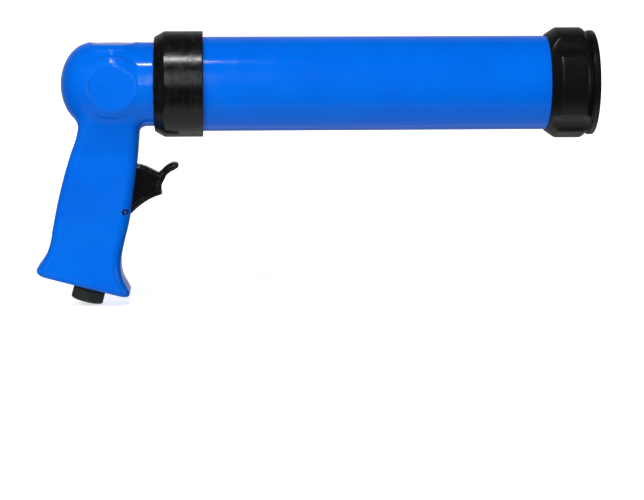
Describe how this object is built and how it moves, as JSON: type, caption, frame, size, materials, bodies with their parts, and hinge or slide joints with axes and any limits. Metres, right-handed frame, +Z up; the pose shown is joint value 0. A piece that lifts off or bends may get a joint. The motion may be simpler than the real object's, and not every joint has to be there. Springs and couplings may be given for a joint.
{
  "type": "pneumatic caulking gun",
  "caption": "Air-powered caulking gun: closed round barrel with screw cap and nozzle opening, domed head with pistol grip, trigger valve and threaded air inlet.",
  "frame": {"origin": "centre of the nozzle opening on the cap's front face", "axes": "+X forward along the barrel and out of the nozzle opening, +Z up, with the grip hanging down, +Y to the left of the user"},
  "size_m": [0.3337, 0.066, 0.1643],
  "materials": {
    "blue_enamel": "glossy blue enamel on an aluminium casting",
    "blue_barrel_enamel": "glossy blue enamel on aluminium tube",
    "black_turned_collar": "black, satin, fine turning marks",
    "black_moulded_cap": "black moulded, satin",
    "black_rubber": "black rubber",
    "white_nylon": "natural nylon",
    "felt": "pressed wool felt",
    "zinc_steel": "zinc plated steel",
    "spring_steel": "spring steel",
    "black_trigger": "glossy black trigger",
    "blackened_steel": "blackened steel pin",
    "polished_steel": "polished steel",
    "brass": "machined brass",
    "dark_inlet_steel": "blackened steel, satin",
    "stainless_screen": "stainless perforated screen"
  },
  "bodies": {
    "gun": {"handle_body": "blue_enamel", "rear_collar": "black_turned_collar", "barrel_gasket": "black_rubber", "barrel_tube": "blue_barrel_enamel", "trigger_pin": "blackened_steel", "valve_bushing": "brass", "bushing_o_rings": "black_rubber", "bushing_retaining_ring": "spring_steel", "stem_o_ring": "black_rubber", "valve_spring": "spring_steel", "air_inlet_bushing": "dark_inlet_steel", "inlet_seal_washer": "black_rubber", "inlet_screen": "stainless_screen"},
    "cap_thread": {"cushion_washer": "black_rubber"},
    "cap": {"front_cap": "black_moulded_cap"},
    "piston": {"piston_body": "white_nylon", "piston_cup_seal": "black_rubber", "piston_guide_ring": "felt", "piston_clamp_washer": "zinc_steel", "piston_screw": "zinc_steel"},
    "trigger": {"trigger": "black_trigger"},
    "stem": {"valve_stem": "polished_steel", "valve_poppet": "brass", "poppet_seal": "black_rubber"}
  },
  "joints": [
    {"name": "cap_travel", "type": "slide", "parent": "gun", "child": "cap_thread", "axis": [1, 0, 0], "range_m": [0, 0.015]},
    {"name": "cap_turn", "type": "hinge", "parent": "cap_thread", "child": "cap", "pos_m": [0, 0, 0], "axis": [1, 0, 0], "range_deg": [0, 1802]},
    {"name": "piston_slide", "type": "slide", "parent": "gun", "child": "piston", "axis": [1, 0, 0], "range_m": [0, 0.214]},
    {"name": "stem_push", "type": "slide", "parent": "gun", "child": "stem", "axis": [-0.9912, 0, 0.1323], "range_m": [0, 0.00375], "stiffness_N_per_m": 1500, "springref_m": -0.002, "deforming": ["valve_spring"]},
    {"name": "trigger_pull", "type": "hinge", "parent": "gun", "child": "trigger", "pos_m": [-0.279, 0, -0.0749], "axis": [0, -1, 0], "range_deg": [0, 12]}
  ],
  "couplings": [
    {"joint": "cap_turn", "follows": "cap_travel", "rad_per_m": 2094.4},
    {"joint": "trigger_pull", "follows": "stem_push", "rad_per_m": 55.6}
  ]
}
